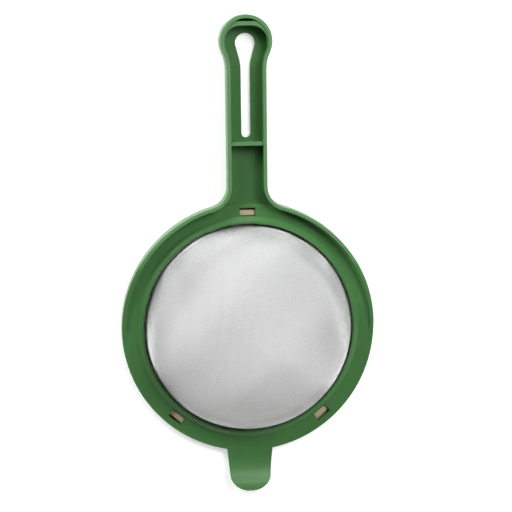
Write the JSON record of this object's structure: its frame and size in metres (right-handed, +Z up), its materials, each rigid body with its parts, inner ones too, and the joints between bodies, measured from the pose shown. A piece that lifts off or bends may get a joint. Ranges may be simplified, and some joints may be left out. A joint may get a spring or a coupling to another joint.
{
  "type": "hand sieve",
  "caption": "Hand-held sieve: a domed woven-wire bowl clamped in a moulded ring with a channel handle, a hanging slot and a curled rest tab.",
  "frame": {"origin": "middle of the object's footprint, on the surface that it lies on when it is laid face down", "axes": "+Y from the rest tab to the handle's end, +Z up through the crown of the mesh bowl, +X to the right of the handle seen from above"},
  "size_m": [0.1598, 0.3004, 0.0482],
  "materials": {
    "frame_plastic": "satin moulded green plastic",
    "clamp_plastic": "matte beige plastic with fine plant-fibre specks",
    "wire_cloth": "bright drawn stainless wire, plain weave"
  },
  "bodies": {
    "root": {"frame": "frame_plastic", "clamp_ring": "clamp_plastic", "mesh_bowl": "wire_cloth"}
  },
  "joints": []
}
